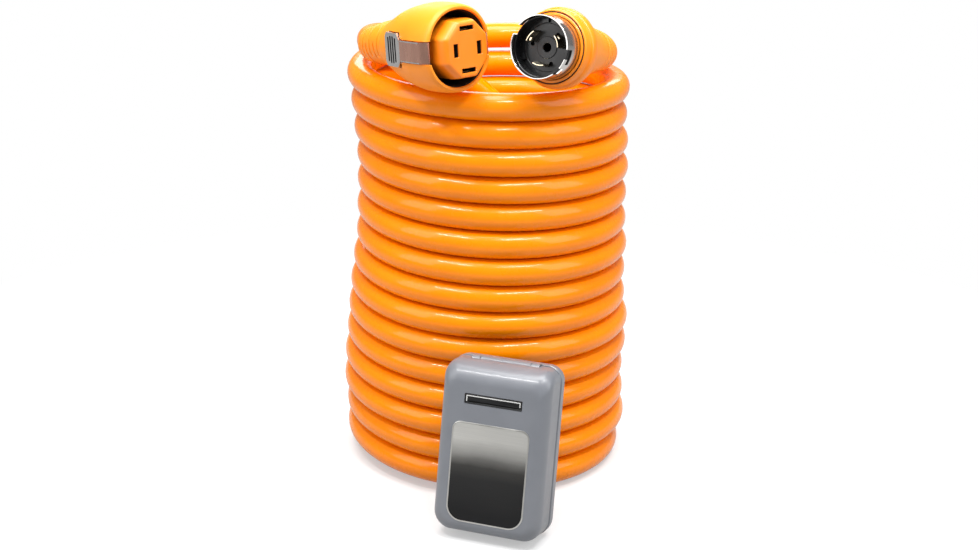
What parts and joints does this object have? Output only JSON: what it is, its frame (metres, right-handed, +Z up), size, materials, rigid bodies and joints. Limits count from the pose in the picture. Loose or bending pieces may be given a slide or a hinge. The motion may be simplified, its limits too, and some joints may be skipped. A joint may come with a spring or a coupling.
{
  "type": "shore power cord",
  "caption": "Orange shore power cord in a tall coil, with a latching hooded connector, a twist-lock plug in a steel shroud and a flap-lidded wall inlet.",
  "frame": {"origin": "middle of the bounding box, on the floor", "axes": "+Z up along the coil's axis, -Y towards the pictured front, where the inlet stands and both ends point"},
  "size_m": [0.3196, 0.446, 0.5557],
  "materials": {
    "cable_orange": "glossy vinyl jacket",
    "shell_orange": "satin moulded vinyl",
    "insert_orange": "semi-gloss moulding",
    "boot_orange": "flexible satin moulding",
    "black_rubber": "matt",
    "black_insulator": "satin",
    "clamp_grey": "matt",
    "inlet_grey": "semi-gloss moulding",
    "stainless_steel": "bright brushed",
    "brushed_plate": "brushed, fading from silver to black",
    "brass": "bright",
    "core_line_1": "insulated core",
    "core_line_2": "insulated core",
    "core_neutral": "insulated core",
    "core_ground": "insulated core"
  },
  "bodies": {
    "cord_set": {"cable_coil": "cable_orange", "cable_connector_lead": "cable_orange", "cable_plug_lead": "cable_orange", "connector_boot": "boot_orange", "connector_cable_clamp": "clamp_grey", "connector_contact_ground": "brass", "connector_contact_line_1": "brass", "connector_contact_line_2": "brass", "connector_contact_neutral": "brass", "connector_core_ground": "core_ground", "connector_core_line_1": "core_line_1", "connector_core_line_2": "core_line_2", "connector_core_neutral": "core_neutral", "connector_insert": "insert_orange", "connector_latch_pin_left": "stainless_steel", "connector_latch_pin_right": "stainless_steel", "connector_latch_spring_left": "stainless_steel", "connector_latch_spring_right": "stainless_steel", "connector_seal": "black_rubber", "connector_shell": "shell_orange", "inlet_base": "inlet_grey", "inlet_cover_screw_1": "stainless_steel", "inlet_cover_screw_2": "stainless_steel", "inlet_cover_screw_3": "stainless_steel", "inlet_cover_screw_4": "stainless_steel", "inlet_gasket": "black_rubber", "inlet_grommet": "black_rubber", "inlet_hinge_pin": "stainless_steel", "inlet_lid_spring": "stainless_steel", "inlet_pin_carrier": "black_insulator", "inlet_pin_ground": "brass", "inlet_pin_line_1": "brass", "inlet_pin_line_2": "brass", "inlet_pin_neutral": "brass", "inlet_rear_cover": "inlet_grey", "plug_blade_line_1": "brass", "plug_blade_line_2": "brass", "plug_blade_neutral": "brass", "plug_body": "shell_orange", "plug_boot": "boot_orange", "plug_cable_clamp": "clamp_grey", "plug_collar": "shell_orange", "plug_core_line_1": "core_line_1", "plug_core_line_2": "core_line_2", "plug_core_neutral": "core_neutral", "plug_insulator": "black_insulator", "plug_seal_ring": "black_rubber", "plug_shroud": "stainless_steel"},
    "lid": {"inlet_lid": "inlet_grey", "inlet_lid_plate": "brushed_plate", "inlet_slot_bezel": "black_insulator", "inlet_slot_bar": "black_insulator", "inlet_lid_gasket": "black_rubber"},
    "latch_left": {"connector_latch_left": "stainless_steel"},
    "latch_right": {"connector_latch_right": "stainless_steel"}
  },
  "joints": [
    {"name": "inlet_lid_hinge", "type": "hinge", "parent": "cord_set", "child": "lid", "pos_m": [0.02099, -0.14251, 0.18135], "axis": [-0.9397, 0.342, 0], "range_deg": [0, 95], "stiffness_Nm_per_rad": 0.1, "springref_deg": -85.94},
    {"name": "latch_left_hinge", "type": "hinge", "parent": "cord_set", "child": "latch_left", "pos_m": [-0.08941, -0.09063, 0.50643], "axis": [0.0699, -0.0777, -0.9945], "range_deg": [0, 5], "stiffness_Nm_per_rad": 0.5, "springref_deg": -8.59},
    {"name": "latch_right_hinge", "type": "hinge", "parent": "cord_set", "child": "latch_right", "pos_m": [-0.03712, -0.04355, 0.50643], "axis": [-0.0699, 0.0777, 0.9945], "range_deg": [0, 5], "stiffness_Nm_per_rad": 0.5, "springref_deg": -8.59}
  ]
}
